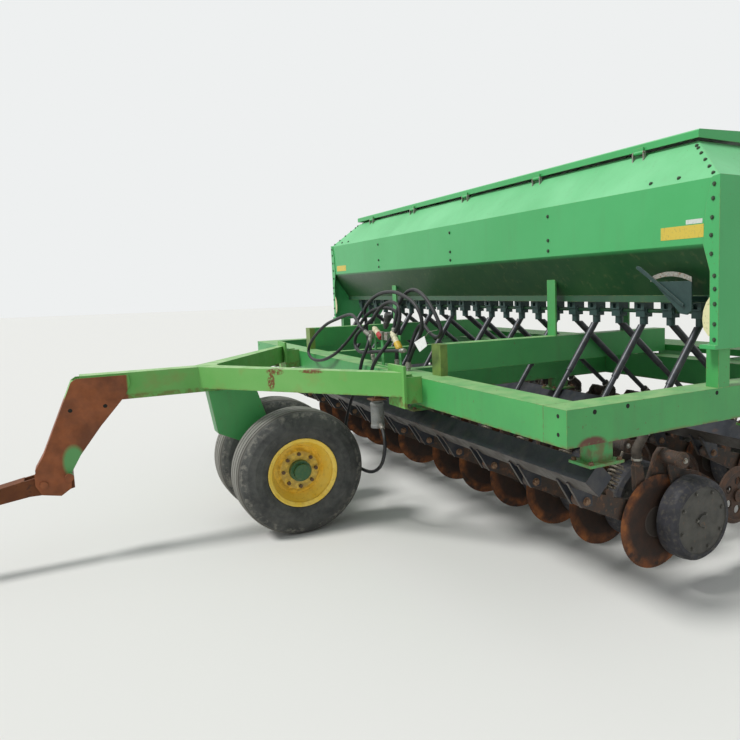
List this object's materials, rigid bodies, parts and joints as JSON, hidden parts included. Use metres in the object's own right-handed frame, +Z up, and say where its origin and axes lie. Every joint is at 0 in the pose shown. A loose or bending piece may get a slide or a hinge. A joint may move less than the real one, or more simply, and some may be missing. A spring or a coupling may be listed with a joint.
{
  "type": "seed drill",
  "caption": "Pull-type no-till seed drill: sloped seed box on a tube frame, gooseneck tongue, two ranks of disc openers with gauge and closing wheels.",
  "frame": {"origin": "centre of the machine's length and width, on the floor", "axes": "X across the machine, -Y towards the hitch, Z up"},
  "size_m": [4.952, 5.34, 2.223],
  "materials": {
    "frame_paint": "weathered green paint",
    "box_paint": "sun-faded green paint",
    "tongue_paint": "weathered green paint with rust-brown primer on the gooseneck",
    "primer_paint": "rust-brown primer",
    "rim_paint": "yellow wheel paint",
    "tyre_rubber": "worn ribbed tyre",
    "cup_paint": "dark blue-green casting paint",
    "tube_steel": "dull grey seed tube",
    "bar_paint": "blue-black paint",
    "rusty_casting": "rusted casting",
    "spring_steel": "dark spring steel",
    "rusty_disc": "steel disc with a skin of rust",
    "wheel_rubber": "worn black rubber"
  },
  "bodies": {
    "frame": {"main_frame": "frame_paint", "upper_beams": "frame_paint", "tongue": "tongue_paint", "wheel_carriage": "frame_paint", "rear_wheel_arms": "frame_paint", "seed_box": "box_paint", "box_ends": "box_paint", "box_posts": "frame_paint", "lid_hinges": "box_paint", "seed_cups": "cup_paint", "feed_drive": "frame_paint", "front_seed_tubes": "tube_steel", "rear_seed_tubes": "tube_steel", "front_opener_bar": "bar_paint", "rear_opener_bar": "bar_paint", "walkboard": "frame_paint"},
    "hitch": {"hitch_link": "primer_paint"},
    "front_wheels": {"front_rims": "rim_paint", "front_tyres": "tyre_rubber"},
    "left_wheel": {"left_rim": "rim_paint", "left_tyre": "tyre_rubber"},
    "right_wheel": {"right_rim": "rim_paint", "right_tyre": "tyre_rubber"},
    "box_lid": {"lid": "box_paint"},
    "front_openers": {"front_opener_arms": "rusty_casting", "front_tail_arms": "rusty_casting", "front_springs": "spring_steel"},
    "front_disc_rank": {"front_discs": "rusty_disc"},
    "front_gauge_rank": {"front_gauge_wheels": "wheel_rubber"},
    "front_press_rank": {"front_press_wheels": "wheel_rubber"},
    "front_closing_rank": {"front_closing_wheels": "rusty_casting"},
    "rear_openers": {"rear_opener_arms": "rusty_casting", "rear_tail_arms": "rusty_casting", "rear_springs": "spring_steel"},
    "rear_disc_rank": {"rear_discs": "rusty_disc"},
    "rear_gauge_rank": {"rear_gauge_wheels": "wheel_rubber"},
    "rear_press_rank": {"rear_press_wheels": "wheel_rubber"},
    "rear_closing_rank": {"rear_closing_wheels": "rusty_casting"}
  },
  "joints": [
    {"name": "hitch_pivot", "type": "hinge", "parent": "frame", "child": "hitch", "pos_m": [0, -2.045, 0.48], "axis": [1, 0, 0], "range_deg": [-25, 0]},
    {"name": "front_wheel_spin", "type": "hinge", "parent": "frame", "child": "front_wheels", "pos_m": [0, -0.71, 0.39], "axis": [1, 0, 0], "continuous": true},
    {"name": "left_wheel_spin", "type": "hinge", "parent": "frame", "child": "left_wheel", "pos_m": [1.815, 2.28, 0.39], "axis": [1, 0, 0], "continuous": true},
    {"name": "right_wheel_spin", "type": "hinge", "parent": "frame", "child": "right_wheel", "pos_m": [-1.815, 2.28, 0.39], "axis": [1, 0, 0], "continuous": true},
    {"name": "lid_hinge", "type": "hinge", "parent": "frame", "child": "box_lid", "pos_m": [0, 0.71, 2.161], "axis": [1, 0, 0], "range_deg": [0, 100]},
    {"name": "front_opener_lift", "type": "hinge", "parent": "frame", "child": "front_openers", "pos_m": [0, -0.002, 0.55], "axis": [1, 0, 0], "range_deg": [-14.5, 0]},
    {"name": "front_disc_spin", "type": "hinge", "parent": "front_openers", "child": "front_disc_rank", "pos_m": [0, 0.448, 0.36], "axis": [1, 0, 0], "continuous": true},
    {"name": "front_gauge_spin", "type": "hinge", "parent": "front_openers", "child": "front_gauge_rank", "pos_m": [0, 0.618, 0.365], "axis": [1, 0, 0], "continuous": true},
    {"name": "front_press_spin", "type": "hinge", "parent": "front_openers", "child": "front_press_rank", "pos_m": [0, 0.816, 0.345], "axis": [1, 0, 0], "continuous": true},
    {"name": "front_closing_spin", "type": "hinge", "parent": "front_openers", "child": "front_closing_rank", "pos_m": [0, 0.983, 0.4], "axis": [1, 0, 0], "continuous": true},
    {"name": "rear_opener_lift", "type": "hinge", "parent": "frame", "child": "rear_openers", "pos_m": [0, 1.048, 0.57], "axis": [1, 0, 0], "range_deg": [-15.8, 0]},
    {"name": "rear_disc_spin", "type": "hinge", "parent": "rear_openers", "child": "rear_disc_rank", "pos_m": [0, 1.498, 0.38], "axis": [1, 0, 0], "continuous": true},
    {"name": "rear_gauge_spin", "type": "hinge", "parent": "rear_openers", "child": "rear_gauge_rank", "pos_m": [0, 1.668, 0.385], "axis": [1, 0, 0], "continuous": true},
    {"name": "rear_press_spin", "type": "hinge", "parent": "rear_openers", "child": "rear_press_rank", "pos_m": [0, 1.866, 0.365], "axis": [1, 0, 0], "continuous": true},
    {"name": "rear_closing_spin", "type": "hinge", "parent": "rear_openers", "child": "rear_closing_rank", "pos_m": [0, 2.033, 0.42], "axis": [1, 0, 0], "continuous": true}
  ]
}
